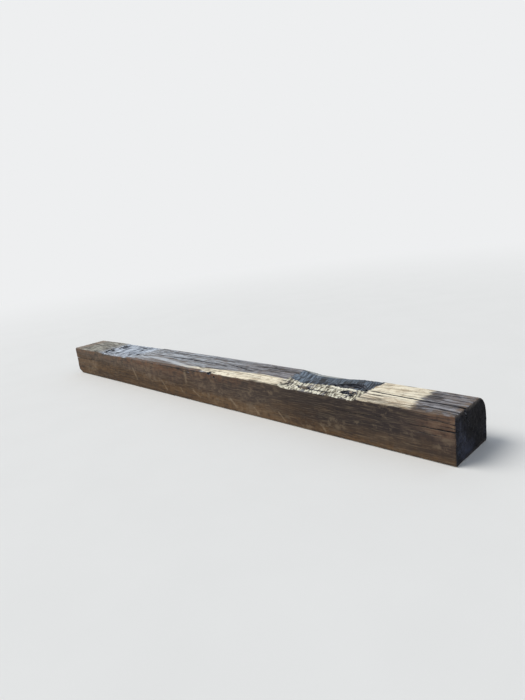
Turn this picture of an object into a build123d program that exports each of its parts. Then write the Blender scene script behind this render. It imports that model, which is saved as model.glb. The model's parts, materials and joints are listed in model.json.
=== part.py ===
# A used timber railway sleeper: one sawn and creosoted baulk, 2750 x 250 x 180 mm, with two
# adzed rail seats, spike holes, drying checks and the round of the log along one top edge.
# Millimetres. X runs along the timber, Y across it, +Z is up, and the origin lies under the
# middle of the timber, on the bed face that rests on the ballast.
# The near end is +X and the front face is -Y.
import math
import os

from build123d import *

# The baulk as it was sawn
length = 2750
bed_width = 250
height = 180
arris_radius = 7            # the upper front edge, worn round
bed_arris_radius = 10       # both lower edges
end_rim_wear = 4            # bevel round the two end faces
clear = 12                  # how far a cutting shape stands outside the timber

# The far end's lower front corner is broken away
toe_rise = 26               # up the front face
toe_run = 42                # along the bed
toe_reach = 140             # back across the bed

# The wane, the log's own round surface left along the upper back edge, dying away
# towards the far end: its inset from the back face and its drop from the top
wane_near_inset = 56
wane_near_drop = 78
wane_middle_at = 1200       # from the near end
wane_middle_inset = 28
wane_middle_drop = 58
wane_far_inset = 36
wane_far_drop = 52

# The flake along the upper front edge, where a long slab has split away between the seats
flake_start = 790           # from the near end
flake_widest_at = 1880
flake_end = 2070
flake_width = 68
flake_depth = 7             # at the front face
flake_step = 3              # at its inner edge
flake_tail = 0.12           # its size at both ends, as a share of its widest section

# The rail seats. Offsets along the timber are from the rail's centre line, minus towards the end
rail_from_end = 577         # 1520 mm gauge: rail centres 1596 mm apart
seat_outer_edge = -192      # the foot-to-foot length takes a 360 mm tie plate
seat_outer_foot = -182
seat_inner_foot = 184
seat_inner_edge = 208
far_seat_depth = 5
near_seat_depth = 8
hollow_depth = 21           # the worn back half of the near seat, below the timber's top
hollow_from_front = 98      # where it starts, from the front face
hollow_outer_edge = -150
hollow_outer_foot = 0
hollow_inner_foot = 150
hollow_inner_edge = 228

# The spike holes under each tie plate, in rows along the timber. Sides are from the plate's
# middle line, and the near plate lay turned half round from the far one
plate_middle_from_front = 97
spike_hole_radius = 8.5
spike_hole_depth = 125      # below the timber's top
front_row_offset = 76       # two spikes, one each side of the rail
front_row_side = -42
back_row_outer_offset = 148
back_row_inner_offset = 62
back_row_side = 54
plate_row_outer_offset = 176
plate_row_inner_offset = 131
plate_row_side = -18

# Two spike holes of the near seat have rotted out into long pits
long_pit_at = 514           # its middle, from the near end
long_pit_from_front = 137
long_pit_length = 186
long_pit_width = 60
long_pit_depth = 62         # below the timber's top
long_pit_skew = 2           # from the grain, in degrees
short_pit_at = 456
short_pit_from_front = 65
short_pit_length = 78
short_pit_width = 40
short_pit_depth = 42
pit_wall_lean = 9           # how far the walls lean in from the top to the bottom

# The knot hole in the upper front edge, and the small round hole under it
knot_at = 1253              # from the near end
knot_length = 38
knot_width = 24
knot_depth = 20
knot_wall_lean = 6
peg_hole_at = 1214
peg_hole_drop = 23
peg_hole_radius = 4
peg_hole_depth = 30

# The drying checks. Each is a row of stations: how far from the near end, then its mouth and its
# tip as (from the front face, below the top), then its width at the mouth. The heart check
# runs down the near end face to the pith
pith = (114, 88)
heart_check = [(-clear, (80, 0), pith, 7), (376, (95, 0), (97, 24), 2)]
top_front_check = [(-clear, (33, 0), (38, 27), 3.2), (152, (50, 0), (50, 8), 1.4)]
upper_side_check = [(-clear, (0, 31), (24, 37), 2.6), (98, (0, 26), (7, 27), 1.2)]
lower_side_check = [(-clear, (0, 55), (36, 64), 3.6), (168, (0, 59), (8, 60), 1.4)]
long_top_check = [
    (1236, (112, 0), (112, 5), 1.4),
    (1560, (127, 0), (130, 30), 4),
    (1874, (117, 0), (117, 5), 1.4),
]
short_top_check = [
    (1036, (103, 0), (103, 4), 1.2),
    (1140, (121, 0), (122, 18), 2.6),
    (1254, (141, 0), (141, 4), 1.2),
]

near_x = length / 2
far_x = -length / 2
front_y = -bed_width / 2
back_y = bed_width / 2
near_rail_x = near_x - rail_from_end
far_rail_x = far_x + rail_from_end


def across(distance):
    """The plane across the timber at a distance from its near end."""
    return Plane.YZ.offset(near_x - distance)


def wane_section(distance, inset, drop):
    """The corner outside the log's round surface."""
    radius = (inset**2 + drop**2) / (2 * inset)
    sweep = math.degrees(math.acos(1 - inset / radius))
    with BuildSketch(across(distance)) as section:
        with BuildLine():
            CenterArc((back_y - radius, height - drop), radius, 0, sweep)
            Polyline(
                (back_y - inset, height),
                (back_y - inset, height + clear),
                (back_y + clear, height + clear),
                (back_y + clear, height - drop),
                (back_y, height - drop),
            )
        make_face()
    return section.sketch


def flake_section(distance, share):
    """What split off along the upper front edge: a slope down to the front, inside a small step."""
    inner = front_y + flake_width * share
    step = flake_step * share
    depth = flake_depth * share
    slope = (depth - step) / (inner - front_y)
    with BuildSketch(across(distance)) as section:
        with BuildLine():
            Polyline(
                (front_y - clear, height - depth - slope * clear),
                (inner, height - step),
                (inner + step, height + clear),
                (front_y - clear, height + clear),
                close=True,
            )
        make_face()
    return section.sketch


def check_section(distance, mouth, tip, width):
    """The V of a drying check, standing out past the face that it opens on."""
    mouth_point = Vector(front_y + mouth[0], height - mouth[1])
    tip_point = Vector(front_y + tip[0], height - tip[1])
    outward = (mouth_point - tip_point).normalized()
    half_width = Vector(-outward.Y, outward.X) * width / 2
    with BuildSketch(across(distance)) as section:
        with BuildLine():
            Polyline(
                tip_point,
                mouth_point - half_width,
                mouth_point - half_width + outward * clear,
                mouth_point + half_width + outward * clear,
                mouth_point + half_width,
                close=True,
            )
        make_face()
    return section.sketch


def seat_profile(start_y, rail_x, inward, edges, depth):
    """A rail seat seen from the front: a floor with a ramp at each end, open above."""
    outer_edge, outer_foot, inner_foot, inner_edge = edges
    outer_rise = clear * depth / (outer_foot - outer_edge)
    inner_rise = clear * depth / (inner_edge - inner_foot)
    with BuildSketch(Plane.XZ.offset(-start_y)) as profile:
        with BuildLine():
            Polyline(
                (rail_x + inward * (outer_edge - clear), height + outer_rise),
                (rail_x + inward * outer_foot, height - depth),
                (rail_x + inward * inner_foot, height - depth),
                (rail_x + inward * (inner_edge + clear), height + inner_rise),
                close=True,
            )
        make_face()
    return profile.sketch


def spike_places(rail_x, inward):
    """The six spikes of one tie plate, on the plane of the timber's top."""
    rows = [
        (-front_row_offset, front_row_side),
        (front_row_offset, front_row_side),
        (-back_row_outer_offset, back_row_side),
        (back_row_inner_offset, back_row_side),
        (-plate_row_outer_offset, plate_row_side),
        (plate_row_inner_offset, plate_row_side),
    ]
    middle_y = front_y + plate_middle_from_front
    return [(rail_x + inward * offset, middle_y + inward * side, height) for offset, side in rows]


def pit_sections(mouth, pit_length, pit_width, depth, lean, skew=0):
    """The mouth and the floor of a rotted hole whose walls lean in."""
    sections = []
    for level, inset in ((0, 0), (-depth, lean)):
        with BuildSketch(mouth.offset(level)) as section:
            SlotOverall(pit_length - 2 * inset, pit_width - 2 * inset, rotation=skew)
        sections.append(section.sketch)
    return sections


seat_edges = (seat_outer_edge, seat_outer_foot, seat_inner_foot, seat_inner_edge)
hollow_edges = (hollow_outer_edge, hollow_outer_foot, hollow_inner_foot, hollow_inner_edge)

with BuildPart() as sleeper:
    # The sawn prism, its arrises worn round and its end rims bevelled
    with BuildSketch(across(length)) as sawn:
        with Locations((0, height / 2)):
            Rectangle(bed_width, height)
        fillet(sawn.vertices().group_by(Axis.Y)[0], bed_arris_radius)
        fillet(sawn.vertices().group_by(Axis.Y)[-1].sort_by(Axis.X)[0], arris_radius)
    extrude(amount=length)
    end_faces = sleeper.faces().filter_by(Axis.X)
    chamfer(end_faces.edges(), end_rim_wear)

    # The wane
    wane = [
        wane_section(-clear, wane_near_inset, wane_near_drop),
        wane_section(wane_middle_at, wane_middle_inset, wane_middle_drop),
        wane_section(length + clear, wane_far_inset, wane_far_drop),
    ]
    loft(wane, mode=Mode.SUBTRACT)

    # The flake
    flake = [
        flake_section(flake_start, flake_tail),
        flake_section(flake_widest_at, 1),
        flake_section(flake_end, flake_tail),
    ]
    loft(flake, ruled=True, mode=Mode.SUBTRACT)

    # The broken corner of the far end
    with BuildSketch(Plane.XZ.offset(-front_y)) as toe:
        with BuildLine():
            Polyline((far_x, 0), (far_x + toe_run, 0), (far_x, toe_rise), close=True)
        make_face()
    toe_tip = Vertex(far_x, front_y + toe_reach, 0)
    loft([toe.sketch, toe_tip], ruled=True, mode=Mode.SUBTRACT)

    # The two rail seats, and the worn hollow in the back half of the near one
    far_seat = seat_profile(back_y, far_rail_x, 1, seat_edges, far_seat_depth)
    near_seat = seat_profile(back_y, near_rail_x, -1, seat_edges, near_seat_depth)
    near_hollow = seat_profile(back_y, near_rail_x, -1, hollow_edges, hollow_depth)
    extrude(far_seat, amount=bed_width, mode=Mode.SUBTRACT)
    extrude(near_seat, amount=bed_width, mode=Mode.SUBTRACT)
    extrude(near_hollow, amount=bed_width - hollow_from_front, mode=Mode.SUBTRACT)

    # The spike holes, and the two pits that have opened from them
    with Locations(spike_places(far_rail_x, 1), spike_places(near_rail_x, -1)):
        Hole(spike_hole_radius, spike_hole_depth)
    long_mouth = Plane((near_x - long_pit_at, front_y + long_pit_from_front, height))
    short_mouth = Plane((near_x - short_pit_at, front_y + short_pit_from_front, height))
    long_pit = (long_pit_length, long_pit_width, long_pit_depth, pit_wall_lean, long_pit_skew)
    short_pit = (short_pit_length, short_pit_width, short_pit_depth, pit_wall_lean)
    loft(pit_sections(long_mouth, *long_pit), mode=Mode.SUBTRACT)
    loft(pit_sections(short_mouth, *short_pit), mode=Mode.SUBTRACT)

    # The knot hole, which opens on the upper front edge, and the peg hole below it
    knot_mouth = Plane((near_x - knot_at, front_y, height), x_dir=(1, 0, 0), z_dir=(0, -1, 1))
    knot_hole = (knot_length, knot_width, knot_depth, knot_wall_lean)
    loft(pit_sections(knot_mouth, *knot_hole), mode=Mode.SUBTRACT)
    with BuildSketch(Plane.XZ.offset(-front_y)) as peg_hole:
        with Locations((near_x - peg_hole_at, height - peg_hole_drop)):
            Circle(peg_hole_radius)
    extrude(amount=-peg_hole_depth, mode=Mode.SUBTRACT)

    # The drying checks
    for check in (
        heart_check,
        top_front_check,
        upper_side_check,
        lower_side_check,
        long_top_check,
        short_top_check,
    ):
        loft([check_section(*station) for station in check], ruled=True, mode=Mode.SUBTRACT)

sleeper.part.label = "sleeper"
os.makedirs("parts", exist_ok=True)
export_step(sleeper.part, "parts/sleeper.step")
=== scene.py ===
# Used timber railway sleeper, dressed over its CAD solid.
# Metres, in the part's own frame: near end +X, front face -Y, bed on the floor at Z = 0.
import itertools
import json
import math

import bpy
import numpy as np
from mathutils import Matrix, Vector


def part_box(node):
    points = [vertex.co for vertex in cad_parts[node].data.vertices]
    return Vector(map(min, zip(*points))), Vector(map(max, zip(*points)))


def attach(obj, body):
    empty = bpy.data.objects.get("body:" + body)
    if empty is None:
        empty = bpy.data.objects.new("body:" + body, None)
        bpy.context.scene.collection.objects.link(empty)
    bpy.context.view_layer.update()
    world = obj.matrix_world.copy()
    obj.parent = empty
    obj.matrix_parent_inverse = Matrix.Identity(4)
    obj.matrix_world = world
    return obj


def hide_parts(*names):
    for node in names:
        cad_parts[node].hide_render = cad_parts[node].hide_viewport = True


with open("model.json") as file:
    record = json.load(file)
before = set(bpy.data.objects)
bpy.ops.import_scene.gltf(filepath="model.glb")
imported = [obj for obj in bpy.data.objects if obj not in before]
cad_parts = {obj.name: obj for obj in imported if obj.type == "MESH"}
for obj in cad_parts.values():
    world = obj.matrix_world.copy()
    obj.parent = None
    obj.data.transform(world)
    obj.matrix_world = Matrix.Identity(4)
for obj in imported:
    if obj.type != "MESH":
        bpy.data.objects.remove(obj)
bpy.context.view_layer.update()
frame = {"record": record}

low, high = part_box("sleeper")
length, width, height = (end - start for start, end in zip(low, high))
nearX, frontY = high[0], low[1]
mounts = {mount["name"]: mount["pos_m"] for mount in frame["record"]["mounts"]}
nearRail = nearX - mounts["near_rail_seat"][0]      # rail centres, from the near end
farRail = nearX - mounts["far_rail_seat"][0]
print("frame:", round(length, 3), round(width, 3), round(height, 3))

noiseCells = 8192       # random numbers in a noise table
noisePrimes = (73856093, 19349663, 83492791)        # scatter the lattice over the table


def softNoise(seed, *places):       # smooth lattice noise from -1 to 1
    table = np.random.default_rng(seed).random(noiseCells)
    cells = [np.floor(place).astype(np.int64) for place in places]
    parts = [place - cell for place, cell in zip(places, cells)]
    eased = [part * part * (3 - 2 * part) for part in parts]
    total = 0
    for corner in itertools.product((0, 1), repeat=len(places)):
        index, weight = 0, 1
        for cell, ease, step, prime in zip(cells, eased, corner, noisePrimes):
            index = index ^ ((cell + step) * prime)
            weight = weight * (ease if step else 1 - ease)
        total = total + weight * table[(index ^ (index >> 15)) % noiseCells]
    return total * 2 - 1


def layeredNoise(seed, octaves, *places):       # each octave half the size and half the strength
    total, strength = 0, 1
    for octave in range(octaves):
        total = total + strength * softNoise(seed + octave, *(place * 2**octave for place in places))
        strength *= 0.5
    return total / (2 - 2 * strength)


def stoneNoise(seed, u, v):      # distance to the nearest of the points strewn over a grid
    jitterU, jitterV = np.random.default_rng(seed).random((2, noiseCells))
    cellU, cellV = np.floor(u).astype(np.int64), np.floor(v).astype(np.int64)
    nearest = np.full(np.shape(u), 9.0)
    for stepU, stepV in itertools.product((-1, 0, 1), repeat=2):
        index = ((cellU + stepU) * 374761393 + (cellV + stepV) * 668265263)
        index = ((index ^ (index >> 13)) * 1274126177 >> 5) % noiseCells
        away = np.hypot(cellU + stepU + 0.15 + 0.7 * jitterU[index] - u,
                        cellV + stepV + 0.15 + 0.7 * jitterV[index] - v)
        nearest = np.minimum(nearest, away)
    return nearest


def fade(value, start, end):        # 0 at start, 1 at end, smooth between
    share = np.clip((value - start) / (end - start), 0, 1)
    return share * share * (3 - 2 * share)


def within(value, start, full, fall, end):      # rises from start to full and goes again from fall to end
    return fade(value, start, full) * (1 - fade(value, fall, end))


def along(stations, at):        # the further numbers of a row of stations, at a place between them
    places, *columns = zip(*stations)
    return [np.interp(at, places, column) for column in columns]


def toPart(s, y, z):        # from the near end, from the front, above the bed
    return nearX - s, frontY + y, z


tree = None     # the node tree that the functions below add to


def startTree(owner):       # of a material or a world
    global tree
    owner.use_nodes = True
    tree = owner.node_tree
    tree.nodes.clear()
    return owner


def linkTo(socket, value):
    if isinstance(value, bpy.types.NodeSocket):
        tree.links.new(value, socket)
    else:
        socket.default_value = value


def addNode(kind, values=(), settings=None, **sockets):
    node = tree.nodes.new("ShaderNode" + kind)
    for name, value in (settings or {}).items():
        setattr(node, name, value)
    for socket, value in zip(node.inputs, values):
        linkTo(socket, value)
    for name, value in sockets.items():
        linkTo(node.inputs[name.replace("_", " ")], value)
    return node


def maths(operation, *values, clamp=False):
    return addNode("Math", values, {"operation": operation, "use_clamp": clamp}).outputs[0]


def chained(operation, values):
    result = values[0]
    for value in values[1:]:
        result = maths(operation, result, value)
    return result


def times(*values):
    return chained("MULTIPLY", values)


def plus(*values):
    return chained("ADD", values)


def most(*values):
    return chained("MAXIMUM", values)


def minus(a, b):
    return maths("SUBTRACT", a, b)


def vectorMaths(operation, a, *b, **scale):
    node = addNode("VectorMath", (a, *b), {"operation": operation}, **scale)
    return node.outputs["Value" if operation in ("LENGTH", "DOT_PRODUCT") else "Vector"]


def between(value, start, end, toStart=0.0, toEnd=1.0):
    return addNode("MapRange", (value, start, end, toStart, toEnd),
                   {"interpolation_type": "SMOOTHSTEP"}).outputs["Result"]


def objectPlace():
    return addNode("TexCoord").outputs["Object"]


def split(place):
    return addNode("SeparateXYZ", (place,)).outputs


def stretched(place, x, y, z):
    return vectorMaths("MULTIPLY", place, (x, y, z))


def noiseFac(place, scale=1.0, detail=3.0, roughness=0.55):
    return addNode("TexNoise", Vector=place, Scale=scale, Detail=detail, Roughness=roughness).outputs["Fac"]


def tone(red, green, blue):     # a colour as picked in an image editor, 0 to 255
    return tuple((c / 255 / 12.92 if c < 10.3 else ((c / 255 + 0.055) / 1.055) ** 2.4)
                 for c in (red, green, blue)) + (1.0,)


def paint(colour):      # a wood tone's name, or red, green and blue, or another node's colour
    if isinstance(colour, bpy.types.NodeSocket):
        return colour
    return tone(*(woodTones[colour] if isinstance(colour, str) else colour))


def tint(colour, towards, *shares):     # mixes in a second colour by the product of the shares
    node = addNode("Mix", (times(*shares),), {"data_type": "RGBA"})
    linkTo(node.inputs[6], paint(colour))
    linkTo(node.inputs[7], paint(towards))
    return node.outputs[2]


def ramp(value, *stops):
    node = addNode("ValToRGB", (value,))
    elements = node.color_ramp.elements
    while len(elements) < len(stops):
        elements.new(0.5)
    for element, (place, colour) in zip(elements, stops):
        element.position, element.color = place, paint(colour)
    return node.outputs["Color"]


def addObject(name, data):
    made = bpy.data.objects.new(name, data)
    bpy.context.scene.collection.objects.link(made)
    return made


def meshObject(name, points, faces, corners=None, slots=None):
    # corners hold each face corner's place in the texture, and slots each face's finish
    mesh = bpy.data.meshes.new(name)
    mesh.from_pydata([tuple(point) for point in points], [], [tuple(face) for face in faces])
    mesh.validate()
    if corners is not None:
        layer = mesh.uv_layers.new(name="OFBake")
        layer.uv.foreach_set("vector", np.array(corners, np.float32).ravel())
    if slots is not None:
        for finish in finishes:
            mesh.materials.append(finish)
        mesh.polygons.foreach_set("material_index", np.array(slots, np.int32))
    return addObject(name, mesh)


def addMark(mesh, name, values):
    attribute = mesh.attributes.new(name, "FLOAT", "POINT")
    attribute.data.foreach_set("value", np.array(values, np.float32))


studio = {
    "cameraPlace": (2.0489, -1.5591, 0.8337),
    "cameraTowards": (-0.7063, 0.6680, -0.2358),
    "cameraRight": (0.7032, 0.7003, -0.1231),
    "lens": 25.685,
    "sensor": 36.0,
    "floorSize": 60.0,
    "floorTone": (232, 232, 230),
    "backdrop": (238, 239, 240),
    "fadeFrom": 2.0,            # metres from the sleeper where the floor runs into the backdrop
    "fadeTo": 9.0,
    "skyTone": (222, 231, 244),
    "skyLight": 0.50,
    "keyFrom": (-0.62, -0.50, 1.0),
    "keyTone": (1.0, 0.97, 0.92),
    "keySpread": 38.0,          # degrees across, for soft shadows
    "keyStrength": 2.35,
}


def setCamera():
    data = bpy.data.cameras.new("camera")
    data.lens, data.sensor_width = studio["lens"], studio["sensor"]
    data.clip_start, data.clip_end = 0.05, 200
    camera = addObject("camera", data)
    back = -Vector(studio["cameraTowards"]).normalized()
    right = Vector(studio["cameraRight"])
    right = (right - back * right.dot(back)).normalized()
    turned = Matrix((right, back.cross(right), back)).transposed().to_4x4()
    camera.matrix_world = Matrix.Translation(studio["cameraPlace"]) @ turned
    bpy.context.scene.camera = camera


def showBackdrop(kind, shader, share=1.0):
    # the backdrop takes the shader's place where the camera sees it, also in a mirror or through glass
    path = addNode("LightPath").outputs
    seen = most(path["Is Camera Ray"], path["Is Glossy Ray"], path["Is Transmission Ray"])
    plain = addNode("Background" if kind == "World" else "Emission", Color=tone(*studio["backdrop"]),
                    Strength=1.0)
    mixed = addNode("MixShader", (times(share, seen), shader.outputs[0], plain.outputs[0]))
    addNode("Output" + kind, Surface=mixed.outputs[0])


def buildFloor():
    half = studio["floorSize"] / 2
    floor = meshObject("floor", [(-half, -half, 0), (half, -half, 0), (half, half, 0), (-half, half, 0)],
                       [(0, 1, 2, 3)])
    material = startTree(bpy.data.materials.new("paleFloor"))
    place = objectPlace()
    far = between(vectorMaths("LENGTH", place), studio["fadeFrom"], studio["fadeTo"])
    colour = tint(studio["floorTone"], [c - 5 for c in studio["floorTone"]], noiseFac(place, 3.0))
    showBackdrop("Material", addNode("BsdfPrincipled", Base_Color=colour, Roughness=0.85), far)
    floor.data.materials.append(material)


def buildLight():
    bpy.context.scene.world = startTree(bpy.data.worlds.new("studio"))
    showBackdrop("World", addNode("Background", Color=tone(*studio["skyTone"]), Strength=studio["skyLight"]))
    data = bpy.data.lights.new("keyLight", "SUN")
    data.angle, data.energy, data.color = (math.radians(studio["keySpread"]), studio["keyStrength"],
                                           studio["keyTone"])
    lamp = addObject("keyLight", data)
    lamp.location = Vector(studio["keyFrom"]) * 3
    lamp.rotation_euler = (-Vector(studio["keyFrom"])).to_track_quat("-Z", "Y").to_euler()
    bpy.context.scene.view_settings.view_transform = "Standard"


setCamera()
buildFloor()
buildLight()
print("camera, floor and light are set")

timber = {
    "arris": 0.007,             # upper front edge
    "bedArris": 0.010,
    "rimWear": 0.004,
    "waneInsets": ((-0.012, 0.056), (1.2, 0.028), (2.762, 0.036)),
    "waneDrops": ((-0.012, 0.078), (1.2, 0.058), (2.762, 0.052)),
    "toeRise": 0.026, "toeRun": 0.042, "toeReach": 0.140,
    # stations of the flake along the upper front edge, and its share of the full width at each
    "flake": ((0.790, 0.12), (1.880, 1), (2.070, 0.12)),
    "flakeWidth": 0.068, "flakeDepth": 0.007, "flakeStep": 0.003,
    "pith": (0.114, 0.092),     # from the front face, above the bed
    "ringSpacing": ((0.006, 0.0065), (0.370, 0.0018), (0.800, 0.0095), (1.950, 0.006), (2.370, 0.0095),
                    (2.744, 0.008)),
    "rimRings": (0, 0.0007, 0.002, 0.0037),
    "frontCount": 34, "topCount": 64, "waneCount": 16, "backCount": 13, "bedCount": 12,
    "topCrowding": 0.28,        # how much closer the points lie towards the front
    "capRings": 24,
    "growthRing": 0.011,
}
seat = {
    # the edge and foot of the ramp on the near end's side, then of the other, from the rail
    "plate": (-0.192, -0.182, 0.184, 0.208),
    "hollow": (-0.150, 0.0, 0.150, 0.228),
    "farDepth": 0.005, "nearDepth": 0.008, "hollowDepth": 0.021,
    # where the wood starts to be bruised, is fully so, gets better and is whole again: from the near
    # end for the ledge and the hollow, from the rail for the far seat
    "ledgeRange": (0.372, 0.398, 0.765, 0.815), "hewnRange": (0.395, 0.42, 0.74, 0.81),
    "farRange": (-0.19, -0.17, 0.17, 0.21),
    # the hollow's torn edge: from the near end, from the front
    "hollowLine": ((0.380, 0.098), (0.465, 0.101), (0.535, 0.103), (0.603, 0.104), (0.637, 0.100),
                   (0.674, 0.092), (0.708, 0.082), (0.754, 0.099), (0.810, 0.110)),
}
relief = {      # how strongly each noise shapes the top, the sides and the bed
    "ridges": (0.0009, 0.0004, 0.0003),
    "fibres": (0.0005, 0.0002, 0),
    "rolls": (0.0014, 0.0010, 0.0005),
    "dents": (0.0035, 0.0016, 0),
    "worn": 0.0006, "arrisBites": 0.008, "ballastDents": 0.0030,
    "ledgeWorn": 0.0017, "ledgeTufts": 0.0014, "ledgeCoarse": 0.0014,
    "hollowStrokes": 0.0015, "hollowWaves": 0.0012, "farStrokes": 0.0012,
    "endRough": 0.0030, "endWaves": 0.0022, "endRings": 0.0008, "endWorn": 0.0024,
}
texture = {     # where the parts lie in it, as shares of its width and height
    # the strip of half the timber's length, and the timber's ends
    "stripCorner": (0.005, 0.004), "stripSize": (0.80, 0.492),
    "endCorners": ((0.825, 0.02), (0.825, 0.27)), "endSize": (0.165, 0.229),
    # the cutters' cells: the first one's corner, the steps to the next ones and the size
    "cellCorner": (0.83, 0.52), "cellStep": (0.056, 0.034), "cellSize": (0.052, 0.031), "cellsAcross": 3,
    # in a cell: the sides' height, the middle of the ends, and half the width and height of an end
    "cellParts": (0.71, 0.887, 0.21, 0.103),
}
sideSlot, endSlot, hollowSlot = range(3)        # places of the timber's finishes


def throughThree(points, s):        # the smooth curve through three stations
    (a, u), (b, v), (c, w) = points
    return (u * (s - b) * (s - c) / ((a - b) * (a - c)) + v * (s - a) * (s - c) / ((b - a) * (b - c))
            + w * (s - a) * (s - b) / ((c - a) * (c - b)))


def seatDrop(offset, depth, outerEdge, outerFoot, innerFoot, innerEdge):
    rise = np.clip((offset - outerEdge) / (outerFoot - outerEdge), 0, 1)
    fall = np.clip((innerEdge - offset) / (innerEdge - innerFoot), 0, 1)
    return depth * np.minimum(rise, fall)


def hollowLine(s):
    ragged = 0.0022 * softNoise(31, s / 0.009) + 0.003 * softNoise(32, s / 0.03)
    return along(seat["hollowLine"], s)[0] + ragged


def topDrop(s, y):      # how far the worn top lies below the sawn one; y is from the front face
    ragged = 0.003 * softNoise(21, s / 0.05, y / 0.012)
    far = seatDrop(farRail - s + ragged, seat["farDepth"], *seat["plate"])
    near = seatDrop(s - nearRail + ragged, seat["nearDepth"], *seat["plate"])
    hollow = seatDrop(s - nearRail + ragged, seat["hollowDepth"], *seat["hollow"])
    hollow = hollow * np.clip((y - hollowLine(s)) / 0.003, 0, 1)
    inFlake = (s > timber["flake"][0][0]) & (s < timber["flake"][-1][0])
    share = np.where(inFlake, along(timber["flake"], s)[0], 0)
    inner = timber["flakeWidth"] * np.maximum(share, 0.01) + 0.006 * softNoise(22, s / 0.11)
    slope = (timber["flakeDepth"] - timber["flakeStep"]) * share * (1 - y / np.maximum(inner, 0.005))
    flake = (timber["flakeStep"] * share + slope) * np.clip((inner - y) / 0.003, 0, 1)
    return np.maximum(np.maximum(far, np.maximum(near, hollow)), flake)


def nearCrumble(s, y):      # how crumbled the near seat's ledge is, 0 to 1
    torn = 0.012 * softNoise(26, s / 0.04, y / 0.012)
    return within(s + torn, *seat["ledgeRange"]) * (1 - fade(y - hollowLine(s), -0.001, 0.004))


def ledgeTufts(s, y):       # blocks of torn wood between cracks that run across the grain, 0 in the cracks
    slant = s - 0.30 * y + 0.0020 * softNoise(27, s / 0.03, y / 0.03)
    strokes = softNoise(19, slant / 0.0046, y / 0.030) + 0.40 * softNoise(30, slant / 0.0036, y / 0.012)
    return fade(strokes, -0.75, 0.50)


def hollowStrokes(s, y):    # bruises across the grain in the hollow, -1 to 1
    slant = s - 0.25 * y + 0.004 * softNoise(28, s / 0.05, y / 0.02)
    return 0.85 * softNoise(23, slant / 0.0046, y / 0.045) + 0.35 * softNoise(29, slant / 0.03, y / 0.03)


def stationsAlong():
    stations = list(timber["rimRings"])
    spacing = timber["ringSpacing"]
    for (start, step), (end, _) in zip(spacing, spacing[1:]):
        count = max(1, round((end - start) / step))
        stations += [start + (end - start) * k / count for k in range(count)]
    stations += [length - ring for ring in timber["rimRings"]]
    return np.array(sorted(stations))


def sectionGrid(s):
    # Y from the front, Z and the outward normal of each place round each section, and its
    # place across the texture strip
    s = s[:, None]
    arris, bedArris = timber["arris"], timber["bedArris"]
    inset = throughThree(timber["waneInsets"], s)
    drop = throughThree(timber["waneDrops"], s)
    radius = (inset**2 + drop**2) / (2 * inset)
    sweep = np.arccos(1 - inset / radius)
    frontTop = height - topDrop(s, 0 * s)
    one = np.ones_like(s)
    columns = []        # y, z, normal y, normal z, strip width of the step to here

    def add(y, z, normalY, normalZ, strip):
        columns.append((y * one, z * one, normalY * one, normalZ * one, strip))

    count = timber["frontCount"]
    for k in range(count):
        share = k / (count - 1)
        add(0, bedArris + share * (frontTop - arris - bedArris), -1, 0, 1.15 * (height / count) * (k > 0))
    for k in (1, 2, 3):
        turn = math.radians(22.5 * k)
        add(arris - arris * math.cos(turn), frontTop - arris + arris * math.sin(turn),
            -math.cos(turn), math.sin(turn), 0.0035)
    count = timber["topCount"]
    for k in range(count):
        share = k / (count - 1)
        share = (1 - timber["topCrowding"]) * share + timber["topCrowding"] * share**2
        y = arris + share * (width - inset - arris)
        add(y, height - topDrop(s, y), 0, 1, 1.3 * 0.2 / count)
    count = timber["waneCount"]
    for k in range(1, count + 1):
        turn = sweep * (1 - k / count)
        y = width - radius + radius * np.cos(turn)
        z = height - drop + radius * np.sin(turn)
        add(y, np.minimum(z, height - topDrop(s, y)), np.cos(turn), np.sin(turn), 0.09 / count)
    count = timber["backCount"]
    for k in range(1, count + 1):
        add(width, (height - drop) + (k / count) * (bedArris - (height - drop)), 1, 0, 0.7 * 0.11 / count)
    for k in (1, 2, 3):
        turn = math.radians(30 * k - 15)
        add(width - bedArris + bedArris * math.cos(turn), bedArris - bedArris * math.sin(turn),
            math.cos(turn), -math.sin(turn), 0.004)
    count = timber["bedCount"]
    for k in range(count):
        add(width - bedArris - (k / (count - 1)) * (width - 2 * bedArris), 0, 0, -1, 0.5 * width / count)
    for k in (1, 2, 3):
        turn = math.radians(30 * k - 15)
        add(bedArris - bedArris * math.sin(turn), bedArris - bedArris * math.cos(turn),
            -math.sin(turn), -math.cos(turn), 0.004)
    grids = [np.hstack([column[k] for column in columns]) for k in range(4)]
    return grids, np.cumsum([column[4] for column in columns])


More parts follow.
